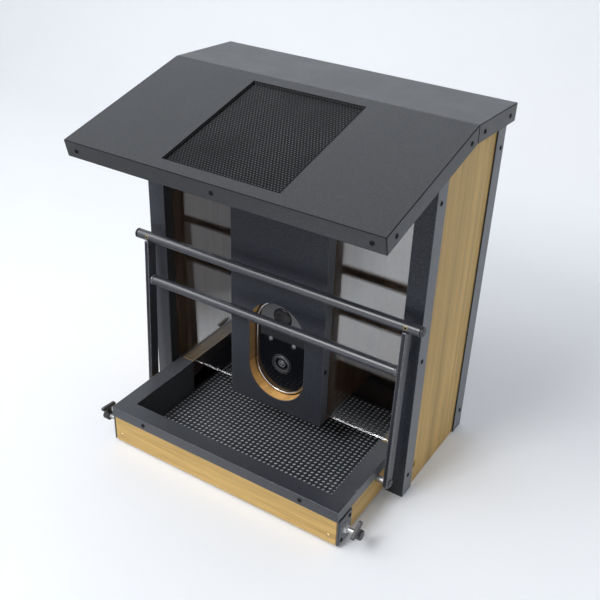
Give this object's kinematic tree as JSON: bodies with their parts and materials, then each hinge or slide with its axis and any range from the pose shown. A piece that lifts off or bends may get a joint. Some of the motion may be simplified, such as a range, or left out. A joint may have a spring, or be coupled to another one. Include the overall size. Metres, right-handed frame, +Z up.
{
  "type": "smart bird feeder",
  "caption": "Wooden hopper bird feeder in a steel frame, with a camera between its windows, a hinged solar roof, a pull-out seed tray and a folding perch.",
  "frame": {"origin": "middle of the footprint at floor level, halfway between the roof's front edge and the rear of its hinges", "axes": "+X to the right of someone facing the feeder, +Y to its back, +Z up"},
  "size_m": [0.324, 0.2522, 0.371],
  "materials": {
    "cedar": "light oiled cedar boards",
    "inner_wood": "plain sawn softwood",
    "black_steel": "satin black powder coat",
    "perch_steel": "smooth black powder coat",
    "zinc_steel": "zinc plated",
    "clear_acrylic": "clear acrylic sheet",
    "chrome_trim": "polished",
    "gloss_black": "gloss black",
    "matte_black": "fine matte",
    "solar_cells": "dimpled laminate over dark cells",
    "circuit_board": "green solder mask",
    "led_lens": "clear moulded lens"
  },
  "bodies": {
    "housing": {"side_panel_left": "cedar", "corner_post_front_left": "black_steel", "corner_post_rear_left": "black_steel", "tray_runner_left": "zinc_steel", "window_left": "clear_acrylic", "bay_wall_left": "inner_wood", "hinge_body_leaf_left": "zinc_steel", "hinge_pin_left": "zinc_steel", "side_panel_right": "cedar", "corner_post_front_right": "black_steel", "corner_post_rear_right": "black_steel", "tray_runner_right": "zinc_steel", "window_right": "clear_acrylic", "bay_wall_right": "inner_wood", "hinge_body_leaf_right": "zinc_steel", "hinge_pin_right": "zinc_steel", "back_panel": "inner_wood", "bay_floor": "inner_wood", "column_cover": "black_steel", "column_core": "cedar", "camera_housing": "matte_black", "camera_ring": "chrome_trim", "camera_face": "gloss_black", "lens_barrel": "matte_black", "lens_glass": "gloss_black", "motion_sensor_window": "gloss_black", "camera_board": "circuit_board", "battery_pack": "matte_black", "infrared_led_left": "led_lens", "infrared_led_right": "led_lens"},
    "roof": {"roof_front_sheet": "black_steel", "roof_rear_sheet": "black_steel", "roof_front_deck": "inner_wood", "roof_rear_deck": "inner_wood", "solar_panel": "solar_cells", "solar_junction_box": "matte_black", "hinge_roof_leaf_left": "zinc_steel", "hinge_roof_leaf_right": "zinc_steel"},
    "tray": {"tray_front_board": "cedar", "tray_back_board": "cedar", "tray_rim": "black_steel", "tray_floor": "black_steel", "tray_side_board_left": "cedar", "tray_corner_plate_left": "black_steel", "perch_pivot_bolt_left": "zinc_steel", "perch_spacer_left": "zinc_steel", "tray_side_board_right": "cedar", "tray_corner_plate_right": "black_steel", "perch_pivot_bolt_right": "zinc_steel", "perch_spacer_right": "zinc_steel"},
    "perch": {"perch_arm_left": "perch_steel", "perch_end_cap_left": "matte_black", "perch_arm_right": "perch_steel", "perch_end_cap_right": "matte_black", "perch_bar_upper": "perch_steel", "perch_bar_lower": "perch_steel"},
    "wing_bolt_left": {"wing_bolt_left": "matte_black"},
    "wing_bolt_right": {"wing_bolt_right": "matte_black"},
    "power_button": {"power_button": "matte_black"}
  },
  "joints": [
    {"name": "roof_hinge", "type": "hinge", "parent": "housing", "child": "roof", "pos_m": [0, 0.1231, 0.34539], "axis": [-1, 0, 0], "range_deg": [0, 105]},
    {"name": "tray_slide", "type": "slide", "parent": "housing", "child": "tray", "axis": [0, -1, 0], "range_m": [0, 0.1]},
    {"name": "perch_fold", "type": "hinge", "parent": "tray", "child": "perch", "pos_m": [0, -0.0456, 0.03], "axis": [1, 0, 0], "range_deg": [-2, 92.4]},
    {"name": "wing_bolt_left_turn", "type": "hinge", "parent": "tray", "child": "wing_bolt_left", "pos_m": [-0.15, -0.1121, 0.021], "axis": [1, 0, 0], "continuous": true},
    {"name": "wing_bolt_right_turn", "type": "hinge", "parent": "tray", "child": "wing_bolt_right", "pos_m": [0.15, -0.1121, 0.021], "axis": [1, 0, 0], "continuous": true},
    {"name": "power_button_press", "type": "slide", "parent": "housing", "child": "power_button", "axis": [0, -1, 0], "range_m": [0, 0.001], "stiffness_N_per_m": 800}
  ]
}
